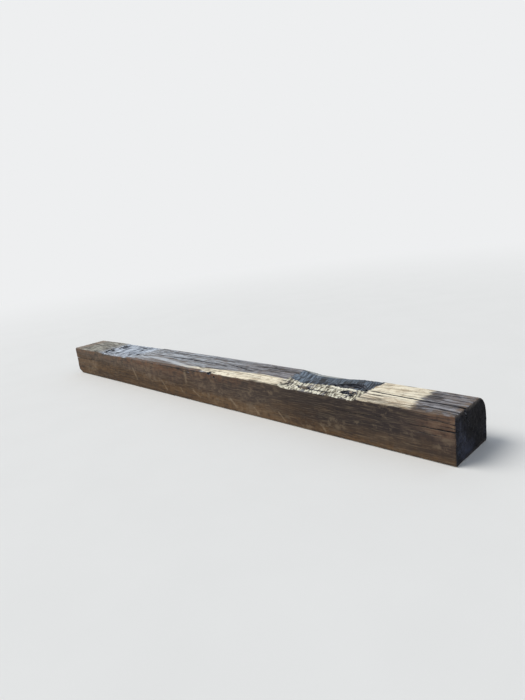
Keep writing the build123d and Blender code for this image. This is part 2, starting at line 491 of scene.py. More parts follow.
def reliefOut(s, y, z, normalY, normalZ):
    # how far the weathered surface stands out of the sawn one, mostly inwards
    up, down = np.clip(normalZ, 0, 1), np.clip(-normalZ, 0, 1)
    side = 1 - up - down
    under = height - topDrop(s, y) - z
    fields = {
        "ridges": layeredNoise(1, 2, s / 0.42, y / 0.011, z / 0.011),
        "fibres": layeredNoise(4, 2, s / 0.09, y / 0.0055, z / 0.0055),
        "rolls": layeredNoise(7, 3, s / 0.26, y / 0.06, z / 0.06),
        "dents": np.minimum(0, layeredNoise(11, 3, s / 0.07, y / 0.035, z / 0.035) + 0.35),
    }
    out = -relief["worn"]
    for name, field in fields.items():
        onTop, onSide, onBed = relief[name]
        out = out + field * (onTop * up + onSide * side + onBed * down)
    arris = np.exp(-(np.abs(y) + under) / 0.012) * (y < 0.02)
    bites = np.minimum(0, layeredNoise(15, 3, s / 0.045, y / 0.03, z / 0.03) - 0.05)
    out = out + arris * bites * relief["arrisBites"]
    # ballast has dented the bed
    stones = fade(stoneNoise(17, s / 0.034, y / 0.030), 0.42, 0.1)
    out = out - down * relief["ballastDents"] * stones * fade(softNoise(18, s / 0.1, y / 0.1), -0.3, 0.3)
    # torn, cross-cracked wood of the near seat's ledge, and strokes in the hollow behind it
    crumbs = nearCrumble(s, y) * np.exp(-np.maximum(under, 0) / (0.004 + 0.003 * softNoise(16, s / 0.012)))
    coarse = layeredNoise(20, 2, s / 0.045, y / 0.030)
    out = out + crumbs * (-relief["ledgeWorn"] + relief["ledgeTufts"] * ledgeTufts(s, y)
                          + relief["ledgeCoarse"] * coarse)
    hewn = within(s, *seat["hewnRange"]) * fade(y - hollowLine(s), 0.002, 0.008) * up
    out = out + hewn * (relief["hollowStrokes"] * hollowStrokes(s, y)
                        + relief["hollowWaves"] * softNoise(24, s / 0.05, y / 0.03))
    # the far seat is bruised across the grain too
    inFarSeat = within(farRail - s, *seat["farRange"]) * up
    return out + inFarSeat * relief["farStrokes"] * softNoise(25, s / 0.014, y / 0.05)


def surfaceHeight(s, y):        # of the weathered top above the bed
    sawn = height - topDrop(s, y)
    return sawn + reliefOut(s, y, sawn, np.zeros_like(s), np.ones_like(s))


def breakToe(s, y, z):      # the far end's lower front corner is broken away
    fromFar = length - s
    normal = np.array((1 / timber["toeRun"], 1 / timber["toeReach"], 1 / timber["toeRise"]))
    ragged = 0.12 * layeredNoise(45, 3, fromFar / 0.02, y / 0.02, z / 0.01)
    short = np.clip(1 + ragged - fromFar * normal[0] - y * normal[1] - z * normal[2], 0, None)
    move = short / (normal**2).sum()
    fromFar = fromFar + move * normal[0]
    s = np.where(move > 0, length - fromFar, s)
    return s, y + move * normal[1], np.maximum(z + move * normal[2], 0.0)


def capDepth(y, z, share, direction):      # relief of an end face: torn wood, growth rings and waves
    pithY, pithZ = frontY + timber["pith"][0], timber["pith"][1]
    away = np.hypot(y - pithY, z - pithZ)
    rough = layeredNoise(51, 3, y / 0.014, z / 0.014, y * 0 + direction)
    wave = layeredNoise(54, 2, y / 0.09, z / 0.09, y * 0 + direction)
    rings = np.sin(away / timber["growthRing"] * 2 * math.pi + 2 * wave)
    depth = relief["endRough"] * rough + relief["endWaves"] * wave + relief["endRings"] * rings
    return (depth - relief["endWorn"]) * fade(1 - share, 0.0, 0.06)


def buildTimberMesh():
    s = stationsAlong()
    (y, z, normalY, normalZ), strip = sectionGrid(s)
    rings, around = y.shape
    sAll = np.repeat(s[:, None], around, 1)
    fromEnd = np.minimum(sAll, length - sAll)
    # both end rims are worn and frayed
    frayed = np.clip(layeredNoise(41, 3, y / 0.02, z / 0.02, sAll * 0 + 1), -0.5, 1)
    wear = timber["rimWear"] * (0.55 + 0.9 * frayed)
    rounded = np.clip(1 - fromEnd / np.maximum(wear, 0.0005), 0, 1)
    shrink = wear * (1 - np.sqrt(np.clip(1 - rounded**2, 0, 1)))
    out = reliefOut(sAll, y, z, normalY, normalZ) - shrink
    sAll, y, z = breakToe(sAll, y + out * normalY, z + out * normalZ)
    points = [tuple(point) for point in np.stack(toPart(sAll, y, z), -1).reshape(-1, 3)]
    faces, corners, half = [], [], length / 2

    def onStrip(station, share, upper):     # each half of the length has its own strip of the texture
        (left, bottom), (long, wide) = texture["stripCorner"], texture["stripSize"]
        return left + long * (station - half * upper) / half, 0.5 * upper + bottom + wide * share

    shares = np.append(strip / (strip[-1] + 0.004), 1.0)
    for i in range(rings - 1):
        upper = int((s[i] + s[i + 1]) / 2 > half)
        a, b = i * around, (i + 1) * around
        for j in range(around):
            k = (j + 1) % around
            faces.append((a + j, b + j, b + k, a + k))
            corners += [onStrip(s[i], shares[j], upper), onStrip(s[i + 1], shares[j], upper),
                        onStrip(s[i + 1], shares[j + 1], upper), onStrip(s[i], shares[j + 1], upper)]
    slots = [sideSlot] * len(faces)
    pithY, pithZ = frontY + timber["pith"][0], timber["pith"][1]
    layers = timber["capRings"]
    nearCell, farCell = texture["endCorners"]
    cellWide, cellHigh = texture["endSize"]
    for ring, direction, (left, bottom) in ((0, 1, nearCell), (rings - 1, -1, farCell)):
        edge = list(range(ring * around, (ring + 1) * around))
        rim = np.array(points[edge[0]:edge[-1] + 1])
        for layer in range(1, layers + 1):
            share = 1 - (layer / layers) ** 0.9
            if layer < layers:
                capY = pithY + (rim[:, 1] - pithY) * share
                capZ = pithZ + (rim[:, 2] - pithZ) * share
                capX = rim[:, 0] + direction * capDepth(capY, capZ, share, direction)
                inner = list(range(len(points), len(points) + around))
                points += list(zip(capX, capY, capZ))
            else:
                inner = [len(points)] * around
                points.append((rim[:, 0].mean() - direction * 0.002, pithY, pithZ))
            for j in range(around):
                k = (j + 1) % around
                loop = (edge[j], edge[k], inner[k], inner[j])[:4 if layer < layers else 3]
                faces.append(loop if direction > 0 else loop[::-1])
                corners += [(left + cellWide * (points[index][2] / height),
                             bottom + cellHigh * (points[index][1] - frontY) / width) for index in faces[-1]]
                slots.append(endSlot)
            edge = inner
    print("timber:", rings, "rings of", around, "points,", len(faces), "faces")
    return meshObject("sleeperTimber", points, faces, corners, slots)


# stations of a check: from the near end, its mouth and its tip from the front and below the top, mouth width
checks = {
    "heart": ((-0.012, 0.080, 0, 0.114, 0.088, 0.009), (0.376, 0.095, 0, 0.097, 0.024, 0.0045)),
    "topFront": ((-0.012, 0.033, 0, 0.038, 0.027, 0.0032), (0.152, 0.050, 0, 0.050, 0.008, 0.0014)),
    "upperSide": ((-0.012, 0, 0.031, 0.024, 0.037, 0.0026), (0.098, 0, 0.026, 0.007, 0.027, 0.0012)),
    "lowerSide": ((-0.012, 0, 0.055, 0.036, 0.064, 0.0036), (0.168, 0, 0.059, 0.008, 0.060, 0.0014)),
    "longTop": ((1.236, 0.112, 0, 0.112, 0.005, 0.0030), (1.560, 0.127, 0, 0.130, 0.030, 0.012),
                (1.874, 0.117, 0, 0.117, 0.005, 0.0034)),
    "shortTop": ((1.036, 0.103, 0, 0.103, 0.004, 0.0026), (1.140, 0.121, 0, 0.122, 0.018, 0.0090),
                 (1.254, 0.141, 0, 0.141, 0.004, 0.0028)),
}
fineChecks = {      # for the visual model alone
    "backTop": ((0.010, 0.170, 0, 0.170, 0.007, 0.0020), (0.180, 0.176, 0, 0.176, 0.006, 0.0014)),
    "farTop": ((1.470, 0.190, 0, 0.190, 0.006, 0.0022), (1.900, 0.176, 0, 0.176, 0.009, 0.0050)),
    "middleTop": ((0.830, 0.165, 0, 0.165, 0.005, 0.0020), (1.080, 0.178, 0, 0.178, 0.009, 0.0046)),
    "pitTail": ((0.588, 0.138, 0.021, 0.138, 0.036, 0.0090), (0.642, 0.132, 0.020, 0.132, 0.026, 0.0024)),
    "farEndTop": ((2.440, 0.120, 0, 0.120, 0.010, 0.0018), (2.762, 0.130, 0, 0.116, 0.055, 0.0046)),
    "flakeLine": ((1.300, 0, 0.010, 0.006, 0.013, 0.0020), (1.530, 0, 0.011, 0.012, 0.015, 0.0040),
                  (1.790, 0, 0.009, 0.005, 0.012, 0.0022)),
    "scar": ((1.410, 0, 0.024, 0.004, 0.025, 0.0026), (1.515, 0, 0.021, 0.004, 0.022, 0.0018)),
    "sideLow": ((0.040, 0, 0.078, 0.008, 0.080, 0.0018), (0.150, 0, 0.083, 0.008, 0.083, 0.0012)),
    "sideHigh": ((-0.012, 0, 0.043, 0.012, 0.047, 0.0020), (0.060, 0, 0.041, 0.005, 0.042, 0.0010)),
    "sideLong": ((0.260, 0, 0.052, 0.006, 0.054, 0.0012), (0.400, 0, 0.060, 0.010, 0.062, 0.0020),
                 (0.520, 0, 0.058, 0.006, 0.060, 0.0012)),
    "sideFar": ((2.350, 0, 0.060, 0.006, 0.062, 0.0014), (2.762, 0, 0.070, 0.020, 0.078, 0.0032)),
    "backFace": ((0.900, 0.250, 0.120, 0.238, 0.121, 0.0016), (1.250, 0.250, 0.124, 0.232, 0.122, 0.0030),
                 (1.620, 0.250, 0.118, 0.240, 0.118, 0.0014)),
}
grooves = {     # cuts across the grain: stations from the near end, from the front, top width, depth
    "farPlateFront": ((2.356, 0.026, 0.007, 0.009), (2.366, 0.060, 0.012, 0.013),
                      (2.392, 0.124, 0.008, 0.009)),
    "farPlateBack": ((2.357, 0.130, 0.006, 0.009), (2.356, 0.160, 0.010, 0.012),
                     (2.359, 0.188, 0.006, 0.009)),
    "nearPlate": ((0.776, 0.022, 0.006, 0.006), (0.768, 0.044, 0.010, 0.011), (0.760, 0.066, 0.006, 0.008)),
    "ledgeFissure": ((0.536, 0.034, 0.005, 0.012), (0.590, 0.031, 0.012, 0.018),
                     (0.645, 0.031, 0.024, 0.026), (0.680, 0.037, 0.030, 0.024),
                     (0.708, 0.048, 0.012, 0.012)),
}
holes = {
    "radius": 0.0085, "depth": 0.125, "plateMiddle": 0.097,
    # along the timber from the rail, and to the side of the plate's middle line
    "places": ((-0.076, -0.042), (0.076, -0.042), (-0.148, 0.054), (0.062, 0.054),
               (-0.176, -0.018), (0.131, -0.018)),
    "levels": (0.012, 0.002, -0.004, -0.012, -0.03, -0.07),     # of a cutter's rings above its last
    "lean": 0.04,
}
pits = {        # from the near end, from the front, length, width, depth, turn in degrees
    "long": (0.514, 0.137, 0.186, 0.060, 0.062, -2),
    "short": (0.456, 0.065, 0.078, 0.040, 0.042, 0),
}
edgeHoles = {
    # from the near end, below the top, inward direction, radii, (depth, share of the radii), seed
    "knotHole": (1.253, 0.0, (math.sqrt(0.5), -math.sqrt(0.5)), (0.019, 0.012),
                 ((-0.014, 1.0), (0.004, 1.0), (0.012, 0.85), (0.020, 0.55)), 341),
    "pegHole": (1.214, 0.023, (1, 0), (0.0064, 0.0056), ((-0.012, 1.0), (0.004, 1.0), (0.030, 0.8)), 347),
}
cutting = {     # the steps along a cutter, and how far it stands out of the surface
    "checkStep": 0.0075, "checkClear": 0.012,
    "grooveStep": 0.004, "grooveClear": 0.010,
    "grooveLip": 0.004,         # below the top, where the V's sides turn upright
}
cutCell = itertools.count()


def loftFaces(sections, left, bottom, wide, high):
    # points, outward faces and texture places of a closed shape through sections of the same number of
    # points; the texture cell has the sides along its lower part and the two ends above them
    count, last = len(sections[0]), len(sections) - 1
    points = [tuple(float(number) for number in point) for section in sections for point in section]
    faces, corners = [], []
    sidesHigh, endsMiddle, endWide, endHigh = texture["cellParts"]

    def place(i, j):
        return left + wide * i / last, bottom + sidesHigh * high * j / count

    for i in range(last):
        for j in range(count):
            k = (j + 1) % count
            faces.append((i * count + j, i * count + k, (i + 1) * count + k, (i + 1) * count + j))
            corners.append([place(i, j), place(i, j + 1), place(i + 1, j + 1), place(i + 1, j)])
    for loop, middle in ((range(count - 1, -1, -1), 0.25), (range(last * count, (last + 1) * count), 0.75)):
        faces.append(tuple(loop))
        corners.append([(left + wide * (middle + endWide * math.cos(turn)),
                         bottom + high * (endsMiddle + endHigh * math.sin(turn)))
                        for turn in (2 * math.pi * k / count for k in range(count))])
    volume = sum(Vector(points[face[0]]).dot(Vector(points[face[k]]).cross(Vector(points[face[k + 1]])))
                 for face in faces for k in range(1, len(face) - 1))
    if volume < 0:
        faces = [face[::-1] for face in faces]
        corners = [places[::-1] for places in corners]
    return points, faces, corners


def closedLoft(name, sections):     # a cutter, whose walls take the hollow's finish
    row, column = divmod(next(cutCell), texture["cellsAcross"])
    (left, bottom), (stepX, stepY) = texture["cellCorner"], texture["cellStep"]
    points, faces, corners = loftFaces(sections, left + stepX * column, bottom + stepY * row,
                                       *texture["cellSize"])
    return meshObject(name, points, faces, sum(corners, []), [hollowSlot] * len(faces))


def ringLoft(name, levels, count, place):       # place gives a point for a level, its number and its turn
    return closedLoft(name, [[place(level, k, 2 * math.pi * k / count) for k in range(count)]
                             for level in levels])


def checkCutter(name, stations, seed):
    start, end = stations[0][0], stations[-1][0]
    count = int((end - start) / cutting["checkStep"]) + 2
    sections = []
    for k in range(count):
        s = start + (end - start) * k / (count - 1)
        *lines, opening = along(stations, s)
        mouth, tip = np.array(lines[:2]), np.array(lines[2:])
        ends = min(1.0, (k if start > 0 else count) / 3 + 0.25, (count - 1 - k) / 4 + 0.25)
        opening *= ends * (1.0 + 0.45 * softNoise(seed, s / 0.011))
        outward = (mouth - tip) / np.linalg.norm(mouth - tip)
        across = np.array((outward[1], -outward[0]))
        sway = 0.0017 * softNoise(seed + 1, s / 0.028) + 0.0006 * softNoise(seed + 2, s / 0.008)
        mouth = mouth + across * sway
        half, clear = across * opening / 2, outward * cutting["checkClear"]
        shape = (tip, mouth - half, mouth - half + clear, mouth + half + clear, mouth + half)
        sections.append([toPart(s, y, height - drop) for y, drop in shape])
    return closedLoft(name, sections)


def grooveCutter(name, stations, seed):      # a ragged V that follows a path over the top
    reach = [0.0]
    for a, b in zip(stations, stations[1:]):
        reach.append(reach[-1] + math.hypot(b[0] - a[0], b[1] - a[1]))
    path = [(here, *station) for here, station in zip(reach, stations)]
    count = int(reach[-1] / cutting["grooveStep"]) + 2
    lip, clear = height - cutting["grooveLip"], height + cutting["grooveClear"]
    sections = []
    for k in range(count):
        here = reach[-1] * k / (count - 1)
        s, y, opening, depth = along(path, here)
        ahead, behind = along(path, here + 0.002), along(path, here - 0.002)
        nextS, nextY = ahead[0] - behind[0], ahead[1] - behind[1]
        across = np.array((-nextY, nextS)) / math.hypot(nextS, nextY)
        ends = min(1.0, 0.3 + k / 4, 0.3 + (count - 1 - k) / 4)
        opening *= ends * (1 + 0.4 * softNoise(seed, here / 0.007))
        middle = np.array((s, y)) + across * 0.0016 * softNoise(seed + 1, here / 0.010)
        left, right = middle - across * opening / 2, middle + across * opening / 2
        sections.append([toPart(*middle, height - depth * ends), toPart(*left, lip), toPart(*left, clear),
                         toPart(*right, clear), toPart(*right, lip)])
    return closedLoft(name, sections)


def spikeCutter(name, s, y, seed):
    leanX, leanY = np.random.default_rng(seed).uniform(-holes["lean"], holes["lean"], 2)

    def place(level, k, turn):      # a rounded square, wider at the mouth
        square = 1 / max(abs(math.cos(turn)), abs(math.sin(turn))) ** 0.55
        wear = 1 + 0.16 * softNoise(seed + 5, k / 2.2, level / 0.02)
        radius = holes["radius"] * 0.92 * square * wear * (1 + 0.25 * math.exp(min(0, level) / 0.006))
        return toPart(s + radius * 1.15 * math.cos(turn) + leanX * level,
                      y + radius * math.sin(turn) + leanY * level, height + level)

    return ringLoft(name, (*holes["levels"], -holes["depth"]), 20, place)


def pitCutter(name, s, y, pitLength, pitWidth, depth, turnDegrees, seed):
    cosTurn, sinTurn = math.cos(math.radians(turnDegrees)), math.sin(math.radians(turnDegrees))

    def place(levelAndLean, k, turn):
        level, lean = levelAndLean
        across, down = math.sin(turn), math.cos(turn)
        torn = 0.10 * softNoise(seed, k / 1.3, level / 0.03)
        torn += 0.12 * softNoise(seed + 1, k / 5.0, level / 0.05)
        lengthways = math.copysign(abs(down) ** 0.85, down) * (pitLength / 2 - lean) * (1 + 0.6 * torn)
        sideways = math.copysign(abs(across) ** 1.15, across) * (pitWidth / 2 - lean) * (1 + torn)
        return toPart(s + lengthways * cosTurn - sideways * sinTurn,
                      y + lengthways * sinTurn + sideways * cosTurn, height + level)

    levels = ((0.014, 0), (-0.010, 0.0), (-0.022, 0.003), (-0.6 * depth, 0.006), (-0.85 * depth, 0.010),
              (-depth, 0.016))
    return ringLoft(name, levels, 56, place)


def edgeHoleCutter(name, s, drop, inward, radii, depths, seed):
    # an opening into the upper front edge or the front face, along its inward direction (y, z)
    sideways = np.array((-inward[1], inward[0]))

    def place(depthAndShare, k, turn):
        depth, share = depthAndShare
        wear = 1 + 0.14 * softNoise(seed, k / 2.4, depth / 0.012)
        across = radii[1] * share * wear * math.sin(turn)
        middle = np.array((0.0, height - drop)) + np.array(inward) * depth + sideways * across
        return toPart(s + radii[0] * share * wear * math.cos(turn), *middle)

    return ringLoft(name, depths, 24, place)


def makeCutters():
    cutters = [checkCutter(name + "Check", stations, 100 + 7 * number)
               for number, (name, stations) in enumerate((checks | fineChecks).items())]
    cutters += [grooveCutter(name, stations, 400 + 7 * number)
                for number, (name, stations) in enumerate(grooves.items())]
    # the near plate lay turned half round from the far one
    cutters += [spikeCutter(f"{label}Spike{number}", rail + inward * offset,
                            holes["plateMiddle"] - inward * side, 200 + 10 * number + inward)
                for rail, inward, label in ((farRail, -1, "far"), (nearRail, 1, "near"))
                for number, (offset, side) in enumerate(holes["places"])]
    cutters += [pitCutter(name + "Pit", *pit, 300 + 10 * number)
                for number, (name, pit) in enumerate(pits.items())]
    return cutters + [edgeHoleCutter(name, *hole) for name, hole in edgeHoles.items()]


def carve(piece, cutters):
    for cutter in cutters:
        modifier = piece.modifiers.new("carve", "BOOLEAN")
        modifier.operation, modifier.solver, modifier.object = "DIFFERENCE", "MANIFOLD", cutter
        evaluated = piece.evaluated_get(bpy.context.evaluated_depsgraph_get())
        carved = bpy.data.meshes.new_from_object(evaluated)
        piece.modifiers.clear()
        before, shape = piece.data, cutter.data
        piece.data = carved
        bpy.data.objects.remove(cutter)
        bpy.data.meshes.remove(before)
        bpy.data.meshes.remove(shape)
    print("carved:", len(piece.data.polygons), "faces")


tornWood = {        # what is left loose on the near seat's ledge, in one mesh
    "fibres": 190, "start": 0.396, "end": 0.792, "front": 0.003, "back": 0.112,
    "lengths": (0.008, 0.019), "widths": (0.0007, 0.0014), "proud": 0.0002, "bow": 0.0012,
    "lean": 0.30,               # along the timber for each metre across it
    "spread": 11.0,             # degrees to either side
    "alongShare": 0.05,         # of the fibres lie along the grain
    "gap": 0.003,               # to the front edge and to the holes
    "cells": 14,                # of the texture, each way
    # lumps in the fissure and on the pits' back walls: from the near end, from the front, above the bed,
    # length, width, height and tone
    "lumps": ((0.668, 0.042, 0.163, 0.050, 0.016, 0.018, 0.08),
              (0.456, 0.083, 0.165, 0.017, 0.010, 0.010, 0.17),
              (0.436, 0.080, 0.163, 0.010, 0.007, 0.008, 0.10),
              (0.496, 0.166, 0.148, 0.070, 0.016, 0.026, 0.02)),
}


def clearOfHoles(s, y):
    gap = tornWood["gap"]
    clear = True
    for middle, side, pitLength, pitWidth, *_ in pits.values():
        clear &= ((s - middle) / (pitLength / 2 + gap))**2 + ((y - side) / (pitWidth / 2 + gap))**2 > 1
    for offset, side in holes["places"]:
        clear &= math.hypot(s - nearRail - offset, y - holes["plateMiddle"] + side) > holes["radius"] + gap
    places, sides, wide, _ = zip(*grooves["ledgeFissure"])
    return clear and abs(y - np.interp(s, places, sides)) > np.interp(s, places, wide, 0, 0) / 2 + gap


def fibreSections(s, y, turn, fibreLength, wide, bow):
    # four narrow rings along a bent fibre that lies on the ledge
    heading = np.array((math.sin(turn), math.cos(turn)))
    across = np.array((heading[1], -heading[0]))
    shares = np.array((-1, -0.45, 0.4, 1))
    s = s + heading[0] * shares * fibreLength / 2 + across[0] * bow * (1 - shares**2)
    y = y + heading[1] * shares * fibreLength / 2 + across[1] * bow * (1 - shares**2)
    under = surfaceHeight(s, y)
    z = 0.7 * under + 0.3 * under.mean() + tornWood["proud"] * (1 - 2.5 * shares**2)
    half = wide / 2 * np.array((0.35, 1, 0.85, 0.25))
    return [[toPart(s[i] + across[0] * side * half[i], y[i] + across[1] * side * half[i],
                    z[i] + rise * half[i])
             for side, rise in ((1, 0), (0, 0.8), (-1, 0), (0, -0.8))] for i in range(4)]


def lumpSections(number, s, y, z, lumpLength, wide, high):      # a rough rounded lump
    sections = []
    for i in range(17):
        share = math.cos(math.pi * (i + 0.25) / 16.5)
        reach = math.sqrt(1 - share**2)
        ring = []
        for turn in (2 * math.pi * k / 24 for k in range(24)):
            across, up = math.cos(turn), math.sin(turn)
            rough = 1 + 0.85 * layeredNoise(71 + number, 3, share * 2.2, across * 1.5, up * 1.5)
            ring.append(toPart(s + share * lumpLength / 2, y + reach * rough * across * wide / 2,
                               z + reach * rough * up * high / 2))
        sections.append(ring)
    return sections


def makeTornWood():
    rng = np.random.default_rng(77)
    shapes, shades = [], []
    gap, bend = tornWood["gap"], tornWood["bow"]
    while len(shapes) < tornWood["fibres"]:
        s = rng.uniform(tornWood["start"], tornWood["end"])
        y = rng.uniform(tornWood["front"], tornWood["back"])
        turn = math.atan(tornWood["lean"]) + math.radians(rng.uniform(-1, 1) * tornWood["spread"])
        turn += math.pi / 2 * (rng.random() < tornWood["alongShare"])
        fibreLength, wide = rng.uniform(*tornWood["lengths"]), rng.uniform(*tornWood["widths"])
        bow, shade = rng.uniform(-bend, bend), rng.uniform(0.2, 1)
        onLedge = y > abs(math.cos(turn)) * fibreLength / 2 + gap and nearCrumble(s, y) > 0.45
        if onLedge and clearOfHoles(s, y):
            shapes.append(fibreSections(s, y, turn, fibreLength, wide, bow))
            shades.append(shade)
    for number, (*place, shade) in enumerate(tornWood["lumps"]):
        shapes.append(lumpSections(number, *place))
        shades.append(shade)
    points, faces, corners, tints = [], [], [], []
    cells = tornWood["cells"]
    for number, (shape, shade) in enumerate(zip(shapes, shades)):
        left, bottom = (number % cells + 0.06) / cells, (number // cells + 0.06) / cells
        own, loops, places = loftFaces(shape, left, bottom, 0.88 / cells, 0.88 / cells)
        faces += [tuple(index + len(points) for index in loop) for loop in loops]
        points += own
        tints += [shade] * len(own)
        corners += sum(places, [])
    piece = meshObject("looseTornWood", points, faces, corners)
    addMark(piece.data, "fibreTone", tints)
    print("torn wood:", len(shapes), "bits,", len(faces), "faces")
    return piece


paleEdges = {      # from the near end, from the front
    # the pale strip of painted sunlight along the upper front edge
    "stripStart": ((0.78, -0.05), (1.15, -0.05), (1.24, 0.004), (1.36, 0.016), (1.49, 0.019), (1.63, 0.044),
                   (1.74, 0.057), (1.84, 0.062), (2.05, 0.037)),
    "stripEnd": ((0.70, -0.05), (0.78, 0.072), (0.95, 0.084), (1.13, 0.068), (1.24, 0.050), (1.36, 0.043),
                 (1.49, 0.041), (1.63, 0.064), (1.74, 0.077), (1.84, 0.082), (2.05, 0.057)),
    # sharp edges: the heart check's front lip and the trough's back rim
    "heartLip": ((0, 0.068), (0.376, 0.083)),
    "troughRim": ((0.600, 0.229), (0.720, 0.225), (0.830, 0.214)),
}
markRanges = {      # from the near end: where a mark starts, is full, fades and is gone
    "heartLip": (0.18, 0.25, 0.375, 0.39), "troughRim": (0.59, 0.63, 0.81, 0.85),
    "flakeFaceAndRidgeShade": (1.38, 1.48, 1.86, 2.0), "brownEdge": (1.27, 1.36, 2.02, 2.12),
    "paleRidge": (0.415, 0.44, 0.545, 0.58), "seatTrough": (0.372, 0.394, 0.78, 0.83),
    # the near top's patch of painted sunlight
    "nearSunlit": (0.125, 0.20, 0.372, 0.388),
}
markReaches = {     # how far to the side an edge, a hole or a cut colours the wood
    "heartLip": 0.006, "troughRim": 0.005, "hole": 0.021, "groove": 0.006, "check": 0.0015,
    "checkEnd": 0.02,
}


def checkShade(s, y):
    shade, reach = np.zeros_like(s), markReaches["checkEnd"]
    for stations in (checks | fineChecks).values():
        if max(station[2] for station in stations) > 0:     # not on top
            continue
        mouth, _, _, _, opening = along(stations, s)
        start, end = stations[0][0], stations[-1][0]
        near = np.exp(-np.abs(y - mouth) / (markReaches["check"] + 0.5 * opening))
        shade = np.maximum(shade, near * within(s, start - reach, start + reach, end - reach, end + reach))
    for stations in grooves.values():
        for (startS, startY, *_), (endS, endY, *_) in zip(stations, stations[1:]):
            spanS, spanY = endS - startS, endY - startY
            share = np.clip(((s - startS) * spanS + (y - startY) * spanY) / (spanS**2 + spanY**2), 0, 1)
            away = np.hypot(s - startS - share * spanS, y - startY - share * spanY)
            shade = np.maximum(shade, 0.8 * np.exp(-(away / markReaches["groove"])**2))
    return shade


def markSurfaces(piece):        # where each finish lies, for the material
    mesh = piece.data
    places = np.empty(len(mesh.vertices) * 3, np.float32)
    mesh.vertices.foreach_get("co", places)
    x, y, z = places.reshape(-1, 3).astype(float).T
    s, y = nearX - x, y - frontY
    under = height - topDrop(s, y) - z
    torn = 0.014 * layeredNoise(61, 2, s / 0.05, y / 0.014)
    toothed = 0.002 * softNoise(62, s / 0.006) + 0.002 * softNoise(63, s / 0.03)
    behind = {name: y - along(edge, s)[0] for name, edge in paleEdges.items()}
    behindLine = y - hollowLine(s)
    holeAways = [np.hypot(s - farRail + offset, y - holes["plateMiddle"] - side)
                 for offset, side in holes["places"]]
    inside = {name: within(s, *span) for name, span in markRanges.items()}
    tornInside = {name: within(s + torn, *span) for name, span in markRanges.items()}
    lip, rim = (np.exp(-(behind[name] / markReaches[name])**2) * inside[name]
                for name in ("heartLip", "troughRim"))
    strip = fade(behind["stripStart"], -0.006, 0.006) * (1 - fade(behind["stripEnd"], -0.006, 0.006))
    marks = {
        "underTop": under,
        "paleLines": np.maximum(lip, 0.8 * rim),
        "checkShade": checkShade(s, y) * (1 - fade(under, 0.003, 0.008)),
        # darker round the far seat's spike holes
        "holeDarkening": np.exp(-(np.min(holeAways, 0) / markReaches["hole"])**2),
        # brown wood in front of the pale ridge, and painted shade in a darker line behind it
        "flakeFaceAndRidgeShade": inside["flakeFaceAndRidgeShade"] * np.maximum(
            1 - fade(behind["stripStart"], -0.008, 0.002),
            np.exp(-((behind["stripEnd"] - 0.016) / 0.010)**2)),
        "brownEdge": (1 - fade(y + 0.5 * torn, 0.014, 0.030)) * inside["brownEdge"],
        "paleRidge": tornInside["paleRidge"] * within(behindLine, -0.016, -0.006, -0.001, 0.004),
        "seatLedge": nearCrumble(s, y) * (1 - fade(under + toothed, 0.002, 0.005)),
        "seatTrough": tornInside["seatTrough"] * fade(behindLine, 0, 0.005),
        "farSeat": fade(farRail - s + torn, -0.205, -0.187) * (1 - fade(farRail - s + 2 * torn, 0.11, 0.20))
        * (0.55 + 0.45 * fade(y, 0.02, 0.16)),
        # painted sunlight: the pale strip along the upper front edge and the near top's sunlit patch
        "sunlitPatches": np.maximum(strip * (1 - fade(s, 1.94, 2.06)), tornInside["nearSunlit"]),
        "tufts": ledgeTufts(s, y),
        "strokes": 0.5 + 0.7 * hollowStrokes(s, y),
    }
    for name, values in marks.items():
        addMark(mesh, name, values)


def newGroup(name, inputs, outputs):        # inputs with their values, None for a vector
    global tree
    tree = bpy.data.node_groups.new(name, "ShaderNodeTree")
    for label, value in inputs.items():
        kind = "NodeSocketVector" if value is None else "NodeSocketFloat"
        socket = tree.interface.new_socket(label, in_out="INPUT", socket_type=kind)
        if value is not None:
            socket.default_value = value
    for label in outputs:
        tree.interface.new_socket(label, in_out="OUTPUT", socket_type="NodeSocketFloat")
    return tree.nodes.new("NodeGroupInput").outputs, tree.nodes.new("NodeGroupOutput").inputs


def useGroup(name, **sockets):
    return addNode("Group", (), {"node_tree": bpy.data.node_groups[name]}, **sockets).outputs


def scaledGrain(place, runLength, lineWidth):       # runs of a length along the grain and a width across it
    across = maths("DIVIDE", 1.0, lineWidth)
    scale = addNode("CombineXYZ", X=maths("DIVIDE", 1.0, runLength), Y=across, Z=across)
    return vectorMaths("MULTIPLY", place, scale.outputs[0])


def grainGroup():       # wood fibres along X: narrow lines, broad streaks and a height
    given, made = newGroup("woodGrain", {"Line Width": 0.005, "Line Length": 0.3, "Waviness": 0.004},
                           ("Lines", "Streaks", "Height"))
    place = objectPlace()
    drift = addNode("TexNoise", Vector=stretched(place, 4.5, 9, 9), Scale=1.0, Detail=2.0)
    sway = vectorMaths("SUBTRACT", drift.outputs["Color"], (0.5, 0.5, 0.5))
    moved = vectorMaths("ADD", place, vectorMaths("SCALE", sway, Scale=given["Waviness"]))
    fine = scaledGrain(moved, given["Line Length"], given["Line Width"])
    lines, broad = noiseFac(fine, 1.0, 3.0, 0.6), noiseFac(fine, 0.28, 3.0, 0.55)
    linkTo(made["Lines"], between(lines, 0.30, 0.70))
    linkTo(made["Streaks"], between(broad, 0.30, 0.70))
    linkTo(made["Height"], plus(times(lines, 0.6), times(broad, 0.4)))


def hairCheckGroup():       # thin dark cracks along X that come and go
    given, made = newGroup("hairChecks", {"Gap": 0.02, "Run": 0.4, "Thickness": 0.02, "Amount": 0.5},
                           ("Mask",))
    place = objectPlace()
    field = noiseFac(scaledGrain(place, given["Run"], given["Gap"]), 1.0, 1.0, 0.4)
    line = between(maths("ABSOLUTE", minus(field, 0.5)), given["Thickness"], 0.0)
    least = minus(0.75, times(given["Amount"], 0.5))
    shown = between(noiseFac(stretched(place, 5.5, 24, 24), 1.0, 1.0), least, plus(least, 0.08))
    linkTo(made["Mask"], times(line, shown))


